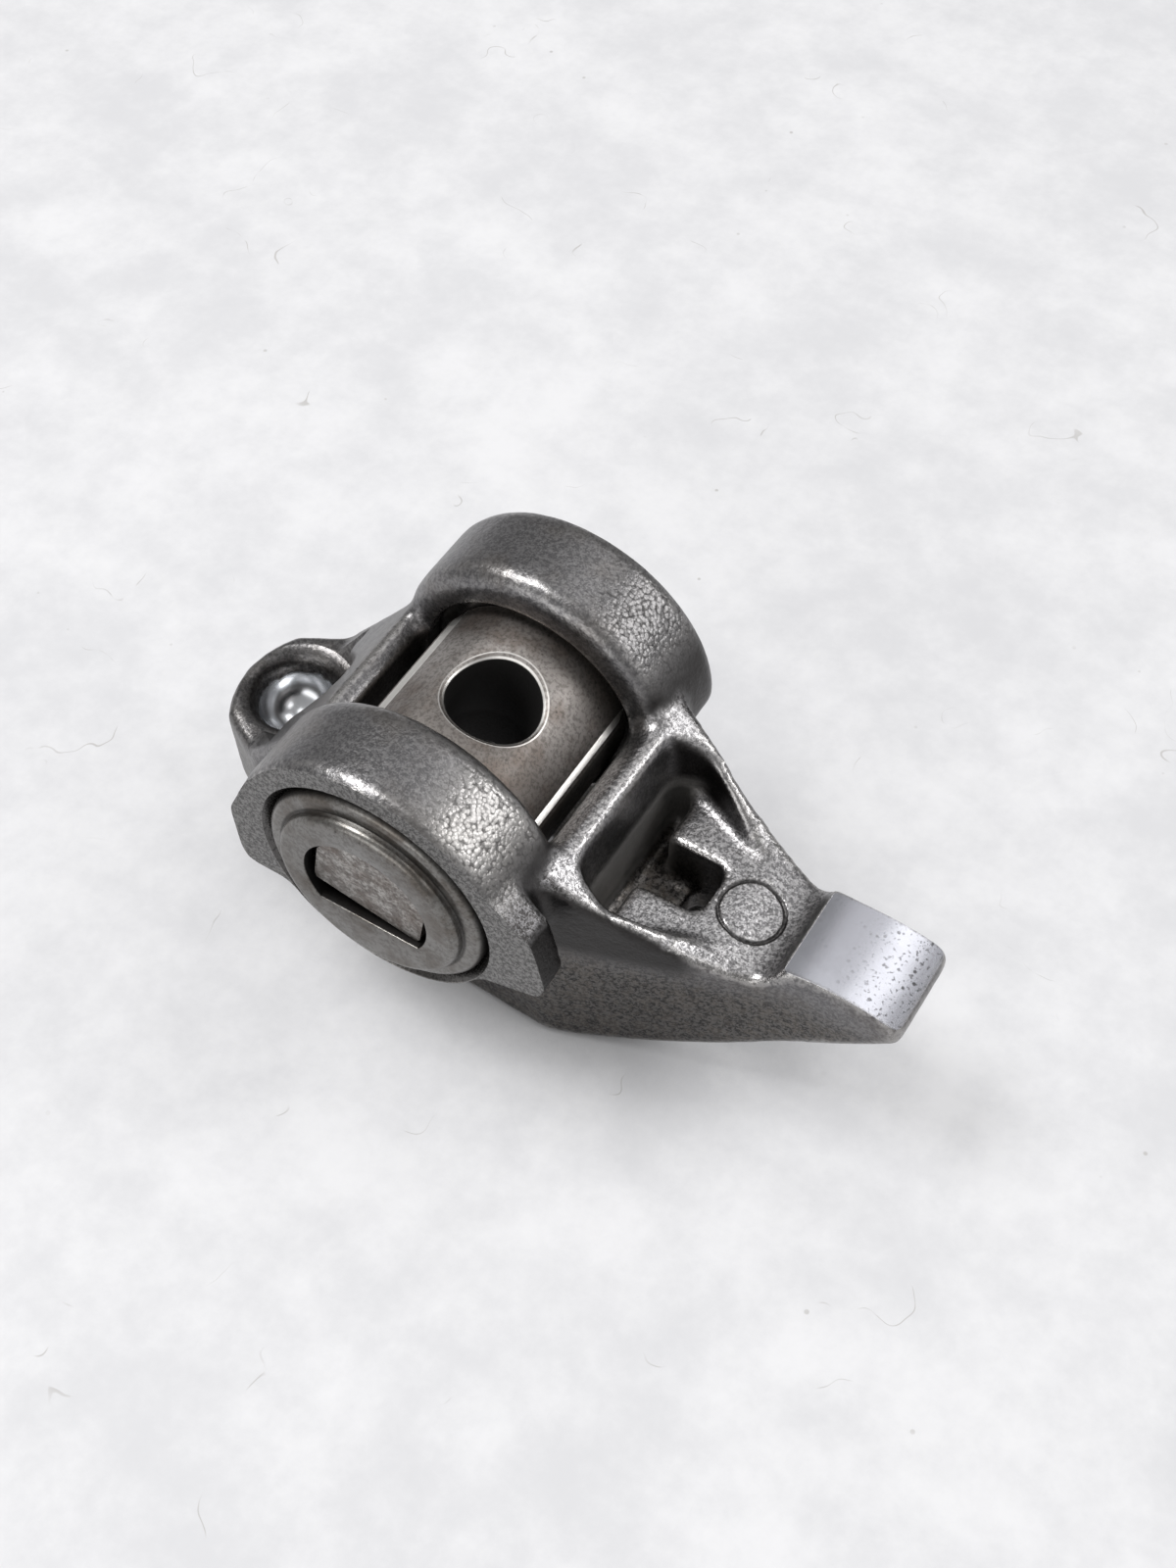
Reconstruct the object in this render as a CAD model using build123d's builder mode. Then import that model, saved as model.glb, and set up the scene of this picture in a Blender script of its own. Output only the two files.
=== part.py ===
from build123d import *
import os
from math import acos, cos, degrees, pi, radians, sin

os.makedirs("parts", exist_ok=True)

# Roller-trunnion rocker arm, lying on its back, in millimetres.
# The origin is the pivot centre.  +X runs to the valve tip, +Y along the pivot
# axis to the far hub, and +Z is the side that faces the cylinder head in service.

# Overall layout
valve_arm = 37.1  # pivot to the crown of the valve pad
pushrod_arm = 21.3  # pivot to the pushrod socket
back_depth = 21.2  # pivot down to the flat back that the arm lies on
hub_face = 16.85  # pivot centre to each machined hub face

# Hubs
bore_radius = 11.0
bore_chamfer = 0.25
hub_top_radius = 14.2
hub_back_radius = 12.2
window_half_width = 7.75  # inner faces of the hubs
window_half_length = 11.2
window_corner = 1.6
lug_thickness = 3.2
hub_outer_round = 0.75
hub_inner_round = 2.0

# Trunnion and its bearings
saddle_radius = 9.47  # crown that sits in the pedestal
crown_half_width = 8.52
saddle_half_width = 9.07  # a narrow flat land runs along each side of the crown
saddle_half_length = 9.2
saddle_taper_length = 2.2  # turned taper at each end of the saddle
saddle_taper = 0.6
seat_depth = 5.0  # bolt seat below the pivot axis
seat_half_width = 8.05
side_depth = 2.75  # flat sides below the pivot axis
bolt_hole_radius = 4.25
bolt_hole_chamfer = 0.5
saddle_edge_chamfer = 0.35
end_radius = 5.9
end_half_width = 5.5
end_flat_depth = 2.7
end_recess = 0.6  # trunnion end below the face of the bearing cup
trunnion_turn = 10.75  # the trunnion rests turned this far in its bearings, degrees

cup_wall = 1.25
cup_rim_rise = 0.2  # cup shoulder proud of the hub face
cup_disc_rise = 1.15  # raised disc proud of the shoulder
cup_disc_radius = 9.25
cup_shoulder_round = 0.85
cup_disc_round = 0.8
cup_lip = 0.8
axial_play = 0.2
key_hole_radius = 6.3
key_flat_depth = 3.65

needle_diameter = 2.2
needle_count = 24
needle_end_play = 0.12
needle_end_chamfer = 0.15
lip_clearance = 0.6  # cup lip over the journal
running_clearance = 0.015

# Pushrod end
arm_top = -4.7
socket_radius = 4.0
socket_depth = 5.5
socket_mouth_radius = 4.7
socket_wall = 6.1  # socket centre to the rounded end of the arm
socket_half_width = 9.0  # arm beside the socket
arm_end_half = 6.0
arm_end_depth = 7.9  # arm top down to the underside of its end
arm_waist = 9.9  # half widths of the arm ahead of the hubs
arm_shoulder = 11.2
arm_belly = 12.0
plan_height = 5.5
plan_round = 2.4
back_round = 1.0
end_round = 0.8

# Valve end
pad_radius = 22.15
pad_top = -1.67
pad_inner_reach = 4.0  # crown of the pad back to its inner edge
pad_outer_reach = 7.4  # crown of the pad out to the tip
pad_half_width = 5.25
neck_length = 1.0  # parallel neck inside the pad
neck_round = 14.0
tip_corner_round = 1.2
pad_round = 0.7
tip_bottom = -4.3
undercut_top = -3.5  # undercut between the pad and the shelf
undercut_floor = -4.2
undercut_lip = -3.95
undercut_slope = 0.9
undercut_width = 1.2
undercut_run = 2.0
rail_bend_z = -2.6
rail_run = 3.6
crest_wall = 2.4  # window to the crest of the cross wall
crest_round = 0.6
front_crest_round = 0.4
undercut_round = 0.6
crest_z = 4.75
front_wall = 1.7
front_crest_z = 4.1
back_flat_start = -8.0
back_flat_end = 15.2
draft = 2.0

# Pocket in the valve side
pocket_wall_x = 14.6
pocket_half_width = 7.9  # at the cross wall
pocket_widest = 9.3
pocket_corner_run = 3.6
pocket_bend_half = 6.9
pocket_end_half = 3.6
pocket_corner = 1.8
shelf_top = -3.2
shelf_x = 17.4
trench_floor = -8.6
slot_half_width = 2.7
slot_end_x = 23.8
slot_corner = 0.8
prong_round = 1.0
drain_x = 20.6
pocket_draft = 4.0
hollow_roof = -11.6
hollow_start_x = 14.6
hollow_start_half = 7.6
hollow_end_x = 30.5
hollow_end_half = 3.2
hollow_corner = 1.2

# Sizes that follow from the ones above
raceway_radius = bore_radius - cup_wall
journal_radius = raceway_radius - needle_diameter - 2 * running_clearance
pitch_radius = (raceway_radius + journal_radius) / 2
cup_shoulder = hub_face + cup_rim_rise
cup_face = cup_shoulder + cup_disc_rise
cup_inner_end = saddle_half_length + axial_play
roller_space_start = cup_inner_end + cup_lip
roller_space_end = cup_shoulder - cup_wall
journal_end = roller_space_end - axial_play
trunnion_end = cup_face - end_recess
lip_radius = journal_radius + lip_clearance
cup_step_radius = lip_radius
socket_centre = arm_top - socket_depth + socket_radius
arm_end_x = -pushrod_arm - socket_wall
socket_side_x = 1.3 - pushrod_arm
underside_z = arm_top - arm_end_depth
pad_inner_x = valve_arm - pad_inner_reach
tip_x = valve_arm + pad_outer_reach
undercut_x = pad_inner_x - undercut_slope - undercut_width
undercut_end = undercut_x - undercut_run
rail_bend_x = undercut_end - rail_run
pocket_bend_x = rail_bend_x - 2.0
pocket_end_x = undercut_x + 0.5
crest_x = window_half_length + crest_wall
front_crest_x = -window_half_length - front_wall
land_z = (saddle_radius**2 - crown_half_width**2) ** 0.5
land_radius = (saddle_half_width**2 + land_z**2) ** 0.5
pad_centre_z = pad_top - pad_radius
pad_inner_z = pad_centre_z + (pad_radius**2 - (pad_inner_x - valve_arm) ** 2) ** 0.5
tip_z = pad_centre_z + (pad_radius**2 - (tip_x - valve_arm) ** 2) ** 0.5


# --- Hub ring, near side -----------------------------------------------------------
hub_width = hub_face - window_half_width
tangent_turn = degrees(acos(hub_back_radius / hub_top_radius))

with BuildPart() as hub_ring:
    with BuildSketch(Plane.XZ.offset(window_half_width)):
        with BuildLine():
            CenterArc((0, 0), hub_top_radius, 0, 180)
            low = CenterArc((0, 0), hub_back_radius, tangent_turn - 180, 180 - 2 * tangent_turn)
            Line((-hub_top_radius, 0), low @ 0)
            Line(low @ 1, (hub_top_radius, 0))
        make_face()
    extrude(amount=hub_width)
    fillet(hub_ring.faces().sort_by(Axis.Y)[0].edges(), hub_outer_round)
    fillet(hub_ring.faces().sort_by(Axis.Y)[-1].edges(), hub_inner_round)


# --- Arm: plan outline drafted in towards the back, cut to the side profile --------
# the belly curve, as shares of its run from the flat back out to the tip
belly_shares = ((0, 0), (0.355, 0.178), (0.659, 0.456), (0.867, 0.763), (1, 1))
belly_length = tip_x - back_flat_end
belly_rise = tip_bottom + back_depth
back_curve = [
    (back_flat_end + along * belly_length, -back_depth + up * belly_rise)
    for along, up in belly_shares
]

with BuildPart() as arm:
    with BuildSketch(Plane.XY.offset(plan_height)) as plan:
        with BuildLine():
            flank = Polyline(
                (arm_end_x + 2.0, arm_end_half),
                (socket_side_x, socket_half_width),
                (-window_half_length - 0.8, arm_waist),
                (-7.0, arm_shoulder),
                (window_half_length + 2.0, arm_belly),
                (pad_inner_x + neck_length, pad_half_width),
                (tip_x, pad_half_width),
                (tip_x, 0),
            )
            ThreePointArc((arm_end_x, 0), (arm_end_x + 0.5, arm_end_half / 2), flank @ 0)
            mirror(about=Plane.XZ)
        make_face()
        sides = plan.vertices().filter_by_position(Axis.X, socket_side_x - 1, crest_x)
        fillet(sides, plan_round)
        neck = plan.vertices().filter_by_position(Axis.X, pad_inner_x, valve_arm)
        fillet(neck, neck_round)
        fillet(plan.vertices().group_by(Axis.X)[-1], tip_corner_round)
    extrude(amount=-(plan_height + back_depth), taper=draft)

    with BuildSketch(Plane.XZ) as profile:
        with BuildLine():
            Polyline(
                (pad_inner_x, pad_inner_z),
                (pad_inner_x - undercut_slope, undercut_top),
                (undercut_x, undercut_floor),
                (undercut_end, undercut_lip),
                (rail_bend_x, rail_bend_z),
                (crest_x, crest_z),
                (window_half_length - 2.8, 0.3),
                (-window_half_length + 3.2, 1.4),
                (front_crest_x, front_crest_z),
                (socket_side_x - 0.6, arm_top),
                (arm_end_x - 1.6, arm_top),
                (arm_end_x - 1.6, underside_z),
                (back_flat_start, -back_depth),
                (back_flat_end, -back_depth),
            )
            Spline(back_curve)
            Line((tip_x, tip_bottom), (tip_x, tip_z))
            RadiusArc((tip_x, tip_z), (pad_inner_x, pad_inner_z), -pad_radius)
        make_face()
        corners = profile.vertices()
        fillet(corners.filter_by_position(Axis.X, crest_x - 0.1, crest_x + 0.1), crest_round)
        front_corners = corners.filter_by_position(Axis.X, front_crest_x - 0.1, front_crest_x + 0.1)
        fillet(front_corners, front_crest_round)
        undercut = corners.filter_by_position(Axis.X, undercut_end - 0.1, pad_inner_x - 0.1)
        fillet(undercut, undercut_round)
    extrude(amount=2 * arm_belly, both=True, mode=Mode.INTERSECT)

    # rounded casting edges: back, arm end and pad
    back_faces = arm.faces().filter_by(lambda face: face.normal_at(face.center()).Z < -0.3)
    fillet(back_faces.edges(), back_round)
    end_edges = arm.edges().filter_by_position(Axis.X, arm_end_x - 2, socket_side_x - 0.7)
    fillet(end_edges.filter_by_position(Axis.Z, arm_top - 0.05, arm_top + 0.05), end_round)
    pad_edges = arm.edges().filter_by_position(Axis.X, pad_inner_x, tip_x)
    pad_edges = pad_edges.filter_by_position(Axis.Z, tip_z - 0.5, pad_top)
    fillet(pad_edges.filter_by(lambda edge: abs(edge.tangent_at(0.5).Z) < 0.9), pad_round)


# --- Rocker body: one investment casting -------------------------------------------
with BuildPart() as rocker_body:
    add(arm.part)
    add(hub_ring.part)
    mirror(hub_ring.part, about=Plane.XZ)

    # lugs in the face plane of the near hub
    with BuildSketch(Plane.XZ.offset(hub_face - lug_thickness)):
        Polygon(
            (7.5, 9.5), (12.4, 7.0), (14.0, 5.7), (15.9, 4.1), (16.4, 2.2), (17.2, -1.8),
            (16.5, -3.6), (13.6, -4.6), (9.0, -6.0), align=None,
        )
        Polygon(
            (-8.0, 8.5), (-12.5, 6.5), (-14.7, 1.8), (-15.2, 0.6), (-14.9, -4.8), (-14.4, -6.2),
            (-13.4, -6.5), (-8.5, -6.5), align=None,
        )
    extrude(amount=lug_thickness)

    # window for the trunnion, open from front to back
    with BuildSketch(Plane.XY.offset(hub_top_radius)):
        RectangleRounded(2 * window_half_length, 2 * window_half_width, window_corner)
    extrude(amount=-(hub_top_radius + back_depth), mode=Mode.SUBTRACT)

    # bearing bores, chamfered at the hub faces
    with BuildSketch(Plane.XY):
        with BuildLine():
            Polyline(
                (0, 0),
                (bore_radius, 0),
                (bore_radius, hub_face - bore_chamfer),
                (bore_radius + bore_chamfer + 1, hub_face + 1),
                (0, hub_face + 1),
                close=True,
            )
        make_face()
        mirror(about=Plane.XZ)
    revolve(axis=Axis.Y, mode=Mode.SUBTRACT)

    # pocket behind the valve pad
    with BuildSketch(Plane.XY.offset(plan_height)) as pocket:
        with BuildLine():
            Polyline(
                (pocket_wall_x, 0),
                (pocket_wall_x, pocket_half_width),
                (pocket_wall_x + pocket_corner_run, pocket_widest),
                (pocket_bend_x, pocket_bend_half),
                (pocket_end_x, pocket_end_half),
                (pocket_end_x, 0),
            )
            mirror(about=Plane.XZ)
        make_face()
        fillet(pocket.vertices().group_by(Axis.X)[0], pocket_corner)
    extrude(amount=shelf_top - plan_height, taper=pocket_draft, mode=Mode.SUBTRACT)

    # trench against the cross wall, and the slot between the two prongs
    with BuildSketch(Plane.XY.offset(shelf_top)) as trench:
        with Locations(((pocket_wall_x + shelf_x) / 2 + 0.3, 0)):
            Rectangle(shelf_x - pocket_wall_x - 0.6, 14.6)
        with Locations(((shelf_x + slot_end_x) / 2 - 0.5, 0)):
            Rectangle(slot_end_x - shelf_x + 1, 2 * slot_half_width)
        fillet(trench.vertices().group_by(Axis.X)[-1], slot_corner)
    extrude(amount=trench_floor - shelf_top, mode=Mode.SUBTRACT)

    # prong ends rounded over into the trench
    prong_edges = rocker_body.edges().filter_by(Axis.Y)
    prong_edges = prong_edges.filter_by_position(Axis.X, shelf_x - 0.05, shelf_x + 0.05)
    prong_edges = prong_edges.filter_by_position(Axis.Z, shelf_top - 0.05, shelf_top + 0.05)
    fillet(prong_edges, prong_round)

    # drain hole at the end of the slot, into the hollow back
    with BuildSketch(Plane.XY.offset(trench_floor)):
        with Locations(((drain_x + slot_end_x) / 2, 0)):
            RectangleRounded(slot_end_x - drain_x, 2 * slot_half_width, slot_corner)
    extrude(amount=hollow_roof - trench_floor, mode=Mode.SUBTRACT)

    # hollow in the back of the valve arm
    with BuildSketch(Plane.XY.offset(-back_depth)) as hollow:
        Polygon(
            (hollow_start_x, -hollow_start_half),
            (hollow_end_x, -hollow_end_half),
            (hollow_end_x, hollow_end_half),
            (hollow_start_x, hollow_start_half),
            align=None,
        )
        fillet(hollow.vertices(), hollow_corner)
    extrude(amount=back_depth + hollow_roof, taper=draft, dir=(0, 0, 1), mode=Mode.SUBTRACT)

    # pushrod socket
    with BuildSketch(Plane.XZ) as socket:
        with BuildLine():
            bowl = CenterArc((-pushrod_arm, socket_centre), socket_radius, -90, 80)
            Polyline(
                bowl @ 1,
                (-pushrod_arm + socket_mouth_radius, arm_top),
                (-pushrod_arm + socket_mouth_radius + 2.0, arm_top + 8),
                (-pushrod_arm, arm_top + 8),
                bowl @ 0,
            )
        make_face()
    revolve(axis=Axis((-pushrod_arm, 0, 0), (0, 0, 1)), mode=Mode.SUBTRACT)

rocker_body.part.label = "rocker_body"
export_step(rocker_body.part, "parts/rocker_body.step")


# --- Trunnion ----------------------------------------------------------------------
turn = radians(trunnion_turn)
across = (cos(turn), 0, -sin(turn))
up_bolt = (sin(turn), 0, cos(turn))
turned = Plane(origin=(0, 0, 0), x_dir=across, z_dir=(0, -1, 0))
bolt_plane = Plane(origin=(0, 0, 0), x_dir=across, z_dir=up_bolt)

with BuildPart() as trunnion:
    # saddle block: crown between two flat lands, flat sides and flat bolt seat
    with BuildSketch(turned) as saddle:
        with BuildLine():
            crown = ThreePointArc(
                (-crown_half_width, land_z), (0, saddle_radius), (crown_half_width, land_z)
            )
            Polyline(
                crown @ 1,
                (saddle_half_width, land_z),
                (saddle_half_width, -side_depth),
                (seat_half_width, -seat_depth),
                (-seat_half_width, -seat_depth),
                (-saddle_half_width, -side_depth),
                (-saddle_half_width, land_z),
                crown @ 0,
            )
        make_face()
        chamfer(saddle.vertices().group_by(Axis.Z)[0], saddle_edge_chamfer)
    extrude(amount=saddle_half_length, both=True)

    # turned taper at both ends of the saddle
    with BuildSketch(Plane.XY):
        with BuildLine():
            Polyline(
                (0, -saddle_half_length),
                (land_radius - saddle_taper, -saddle_half_length),
                (land_radius, saddle_taper_length - saddle_half_length),
                (land_radius + 1, saddle_taper_length - saddle_half_length),
                (land_radius + 1, saddle_half_length - saddle_taper_length),
                (land_radius, saddle_half_length - saddle_taper_length),
                (land_radius - saddle_taper, saddle_half_length),
                (0, saddle_half_length),
                close=True,
            )
        make_face()
    revolve(axis=Axis.Y, mode=Mode.INTERSECT)

    # needle journals, one each side of the saddle
    for side in (-1, 1):
        with BuildSketch(turned.offset(side * saddle_half_length)):
            Circle(journal_radius)
        extrude(amount=side * (journal_end - saddle_half_length))

    # D ends that key into the bearing cups
    with BuildSketch(turned):
        Circle(end_radius)
        with Locations((0, (end_radius - end_flat_depth) / 2)):
            Rectangle(2 * end_half_width, end_radius + end_flat_depth, mode=Mode.INTERSECT)
    extrude(amount=trunnion_end, both=True)

    with BuildSketch(bolt_plane.offset(-saddle_radius)):
        Circle(bolt_hole_radius)
    extrude(amount=2 * saddle_radius, mode=Mode.SUBTRACT)
    hole_rims = trunnion.faces().filter_by(GeomType.CYLINDER).sort_by(
        lambda face: abs(face.radius - bolt_hole_radius)
    )[0].edges()
    chamfer(hole_rims.filter_by(GeomType.LINE, reverse=True), bolt_hole_chamfer)

trunnion.part.label = "trunnion"
export_step(trunnion.part, "parts/trunnion.step")


# --- Drawn bearing cups ------------------------------------------------------------
with BuildPart() as far_bearing_cup:
    with BuildSketch(Plane.XY) as wall:
        with BuildLine():
            Polyline(
                (lip_radius, cup_inner_end),
                (bore_radius, cup_inner_end),
                (bore_radius, cup_shoulder),
                (cup_disc_radius, cup_shoulder),
                (cup_disc_radius, cup_face),
                (0, cup_face),
                (0, cup_face - cup_wall),
                (cup_step_radius, cup_face - cup_wall),
                (cup_step_radius, roller_space_end),
                (raceway_radius, roller_space_end),
                (raceway_radius, roller_space_start),
                (lip_radius, roller_space_start),
                close=True,
            )
        make_face()
        shoulder_corner = wall.vertices().group_by(Axis.X)[-1].sort_by(Axis.Y)[-1]
        fillet(shoulder_corner, cup_shoulder_round)
        disc_corner = wall.vertices().group_by(Axis.Y)[-1].sort_by(Axis.X)[-1]
        fillet(disc_corner, cup_disc_round)
    revolve(axis=Axis.Y)
    with BuildSketch(Plane.XZ):
        Circle(key_hole_radius)
        with Locations((0, -key_flat_depth - key_hole_radius)):
            Rectangle(2 * key_hole_radius, 2 * key_hole_radius, mode=Mode.SUBTRACT)
    extrude(amount=-cup_face, mode=Mode.SUBTRACT)
far_bearing_cup.part.label = "far_bearing_cup"
export_step(far_bearing_cup.part, "parts/far_bearing_cup.step")

with BuildPart() as near_bearing_cup:
    mirror(far_bearing_cup.part, about=Plane.XZ)
near_bearing_cup.part.label = "near_bearing_cup"
export_step(near_bearing_cup.part, "parts/near_bearing_cup.step")


# --- Needle rollers: a full row, side by side, in each cup --------------------------
needle_start = roller_space_start + needle_end_play
needle_length = roller_space_end - roller_space_start - 2 * needle_end_play

for row, row_start in (("near", needle_start), ("far", -needle_start - needle_length)):
    for number in range(needle_count):
        angle = 2 * pi * (number + 0.5) / needle_count
        with BuildPart() as needle:
            with BuildSketch(Plane.XZ.offset(row_start)):
                with Locations((pitch_radius * cos(angle), pitch_radius * sin(angle))):
                    Circle(needle_diameter / 2)
            extrude(amount=needle_length)
            chamfer(needle.edges().filter_by(GeomType.CIRCLE), needle_end_chamfer)
        needle_name = f"{row}_needle_{number + 1:02d}"
        needle.part.label = needle_name
        export_step(needle.part, f"parts/{needle_name}.step")
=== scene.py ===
# %% [markdown]
# # Dressing a roller trunnion rocker arm
# The rocker arm is a steel investment casting. Two hubs carry drawn bearing cups, needle
# rollers run in the cups, and a short turned trunnion runs in the needles. The CAD frame
# holds every piece at its true size. This script gives each one its real surface, and it
# never moves or resizes a piece. It is read from top to bottom, one step in each cell.

# %% Load the frame
import math
from types import SimpleNamespace

import bmesh
import bpy
from mathutils import Matrix, Vector


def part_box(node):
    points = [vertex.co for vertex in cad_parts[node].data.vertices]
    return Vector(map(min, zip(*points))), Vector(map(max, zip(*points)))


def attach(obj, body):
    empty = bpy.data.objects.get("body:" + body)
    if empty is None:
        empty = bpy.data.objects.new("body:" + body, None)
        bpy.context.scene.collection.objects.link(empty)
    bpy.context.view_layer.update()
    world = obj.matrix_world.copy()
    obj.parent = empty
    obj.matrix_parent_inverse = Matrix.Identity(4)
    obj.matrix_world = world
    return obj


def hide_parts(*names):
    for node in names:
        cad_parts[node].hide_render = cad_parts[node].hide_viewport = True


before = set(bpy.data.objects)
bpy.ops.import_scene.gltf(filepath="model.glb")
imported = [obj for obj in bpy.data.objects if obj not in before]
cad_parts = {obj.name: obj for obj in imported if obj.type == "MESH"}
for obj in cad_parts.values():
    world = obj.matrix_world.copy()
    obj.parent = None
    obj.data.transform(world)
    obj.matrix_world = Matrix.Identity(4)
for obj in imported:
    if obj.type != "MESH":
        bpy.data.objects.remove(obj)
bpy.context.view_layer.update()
MM = 0.001

# %% [markdown]
# ## The camera
# A camera is placed as a photographer would place it: where it stands, what it looks at and
# how far it is tipped. `to_track_quat` turns the look direction into a rotation, with the
# camera's own -Z forwards and +Y up. The tip is then a small turn about its own Z.

# %% Camera
CAMERA_PLACE = Vector((67.9, -90.33, 148.89)) * MM
CAMERA_AIM = Vector((1.49, 15.15, -21.2)) * MM
CAMERA_TIP = math.radians(-0.53)
FOCAL_LENGTH = 64.18
SENSOR_WIDTH = 36.0

camera_data = bpy.data.cameras.new("studio_camera")
camera_data.sensor_fit = "HORIZONTAL"
camera_data.sensor_width = SENSOR_WIDTH
camera_data.lens = FOCAL_LENGTH
camera_data.clip_start = 0.01
camera = bpy.data.objects.new("studio_camera", camera_data)
bpy.context.scene.collection.objects.link(camera)
look = (CAMERA_AIM - CAMERA_PLACE).to_track_quat("-Z", "Y").to_matrix().to_4x4()
camera.matrix_world = Matrix.Translation(CAMERA_PLACE) @ look @ Matrix.Rotation(CAMERA_TIP, 4, "Z")
bpy.context.scene.camera = camera
bpy.context.scene.view_settings.view_transform = "Standard"
print("camera distance, mm", round((CAMERA_AIM - CAMERA_PLACE).length / MM, 1))

# %% [markdown]
# ## Shader maths as arithmetic
# A node tree is easier to read as a formula. `Value` wraps one socket and overloads the
# operators, so `1 - mask` adds the Math node that it stands for. `Finish` holds one material
# and has one method, `node`, for every other node: settings first, then socket values.

# %% Shader helpers
class Value:
    """One output socket, which arithmetic turns into Math nodes."""

    def __init__(self, finish, socket):
        self.finish = finish
        self.socket = socket

    def math(self, operation, *others):
        inputs = dict(enumerate((self, *others)))
        return self.finish.node("ShaderNodeMath", {"operation": operation}, inputs)

    def __add__(self, other):
        return self.math("ADD", other)

    def __mul__(self, other):
        return self.math("MULTIPLY", other)

    def __sub__(self, other):
        return self.math("SUBTRACT", other)

    def __rsub__(self, other):
        inputs = {0: other, 1: self}
        return self.finish.node("ShaderNodeMath", {"operation": "SUBTRACT"}, inputs)

    __radd__ = __add__
    __rmul__ = __mul__

    def __abs__(self):
        return self.math("ABSOLUTE")

    def capped(self):
        """The value, but never more than 1."""
        return self.math("MINIMUM", 1.0)

    def toward(self, target, mask):
        """The value where the mask is 0, the target where it is 1 and a blend between."""
        return self + mask * (target - self)

    def step(self, low, high):
        """0 below low, 1 above high and a smooth rise between, or a fall if low is above high."""
        if low > high:
            return 1 - self.step(high, low)
        settings = {"interpolation_type": "SMOOTHSTEP"}
        inputs = {"Value": self, "From Min": low, "From Max": high}
        return self.finish.node("ShaderNodeMapRange", settings, inputs)


class Finish:
    """A material, its Principled shader and the nodes that feed it."""

    def __init__(self, name, **constants):
        self.material = bpy.data.materials.new(name)
        self.material.use_nodes = True
        self.tree = self.material.node_tree
        self.shader = self.tree.nodes["Principled BSDF"]
        for socket, value in constants.items():
            self.shader.inputs[socket.replace("_", " ").title()].default_value = value
        self.coords = self.node("ShaderNodeTexCoord", output="Object")

    def node(self, kind, settings=None, inputs=None, output=0):
        node = self.tree.nodes.new(kind)
        for name, value in (settings or {}).items():
            setattr(node, name, value)
        for name, value in (inputs or {}).items():
            if isinstance(value, Value):
                self.tree.links.new(value.socket, node.inputs[name])
            else:
                node.inputs[name].default_value = value
        return Value(self, node.outputs[output])

    def noise(self, size, detail=2.0, roughness=0.5, coords=None):
        """Cloudy noise, 0 to 1, whose lumps are about `size` metres across."""
        inputs = {"Vector": coords or self.coords, "Scale": 1 / size}
        inputs.update({"Detail": detail, "Roughness": roughness})
        return self.node("ShaderNodeTexNoise", {}, inputs)

    def pits(self, size):
        """Distance to the nearest of many scattered points, in units of `size`."""
        inputs = {"Vector": self.coords, "Scale": 1 / size, "Randomness": 1.0}
        return self.node("ShaderNodeTexVoronoi", {"feature": "F1"}, inputs)

    def axis(self, name, coords=None):
        return self.node("ShaderNodeSeparateXYZ", {}, {0: coords or self.coords}, output=name)

    def distance(self, point, keep=(1, 1, 1), coords=None):
        """Distance from a point, or from a line when the direction along it isn't kept."""
        kept = {0: coords or self.coords, 1: keep}
        flat = self.node("ShaderNodeVectorMath", {"operation": "MULTIPLY"}, kept)
        ends = {0: flat, 1: point}
        return self.node("ShaderNodeVectorMath", {"operation": "DISTANCE"}, ends, output="Value")

    def facing_up(self):
        """How far the surface faces up in the object's own frame: 1 level, 0 upright."""
        normal = self.node("ShaderNodeTexCoord", output="Normal")
        return self.node("ShaderNodeSeparateXYZ", {}, {0: normal}, output="Z")

    def attribute(self, name):
        return self.node("ShaderNodeAttribute", {"attribute_name": name}, output="Fac")

    def mix(self, mask, first, second):
        """The first colour where the mask is 0 and the second where it is 1."""
        first = first if isinstance(first, Value) else (*first, 1.0)
        second = second if isinstance(second, Value) else (*second, 1.0)
        inputs = {0: mask, 6: first, 7: second}
        return self.node("ShaderNodeMix", {"data_type": "RGBA"}, inputs, output=2)

    def layered(self, tone, layers):
        """Paints each (mask, colour) layer over the tone, in turn."""
        for mask, colour in layers:
            tone = self.mix(mask, tone, colour)
        return tone

    def bump(self, height, depth, below=None):
        """A Bump node: `depth` is the relief in metres for a height of 1."""
        inputs = {"Height": height, "Distance": depth, "Strength": 1.0}
        if below is not None:
            inputs["Normal"] = below
        return self.node("ShaderNodeBump", {}, inputs)

    def feed(self, **links):
        for socket, value in links.items():
            self.tree.links.new(value.socket, self.shader.inputs[socket.replace("_", " ").title()])
        return self.material


print("shader helpers ready")

# %% [markdown]
# ## The casting
# An investment casting has soft inner corners, fuller outer edges and a skin that is never
# quite flat. The places that work against other pieces are cut afterwards and stay crisp: the
# bores, the hub faces, the valve pad and the ball socket. So the work goes the way the shop's
# does. Each of those places first gets a little stock, as a real blank has. A voxel remesh
# fuses it, a push out and back in leaves a radius in every inner corner, and a little
# smoothing and a fine cloud displacement give the skin. Then booleans machine the stock away.

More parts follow.
